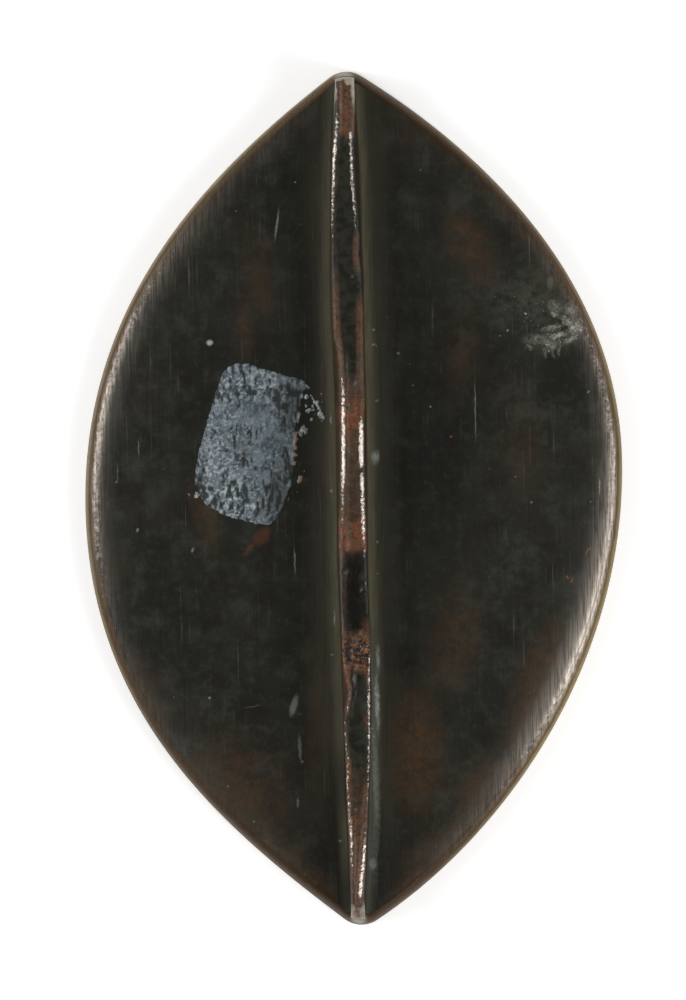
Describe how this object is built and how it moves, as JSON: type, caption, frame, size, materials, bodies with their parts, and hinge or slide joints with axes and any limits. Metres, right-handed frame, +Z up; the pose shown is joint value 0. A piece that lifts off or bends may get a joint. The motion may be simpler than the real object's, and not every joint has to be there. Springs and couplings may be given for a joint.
{
  "type": "seal matrix",
  "caption": "Pointed-oval copper-alloy seal matrix: a flat plate engraved underneath, with a narrow upright grip rib brazed along its back from tip to tip.",
  "frame": {"origin": "middle of the engraved face, at the surface that the matrix lies on", "axes": "+Z up out of the back, +Y along the rib towards the head of the seal, +X to the right seen from above"},
  "size_m": [0.0458, 0.0726, 0.0088],
  "materials": {
    "dark_bronze": "satin olive-black patina with fine lengthwise scratches",
    "red_bronze": "red-brown patina, worn bright along the edges",
    "brazing": "smooth olive patina",
    "label_paper": "matt, dirty and pitted"
  },
  "bodies": {
    "root": {"matrix_plate": "dark_bronze", "spine_rib": "red_bronze", "braze_fillet_left": "brazing", "braze_fillet_right": "brazing", "label_residue": "label_paper"}
  },
  "joints": []
}
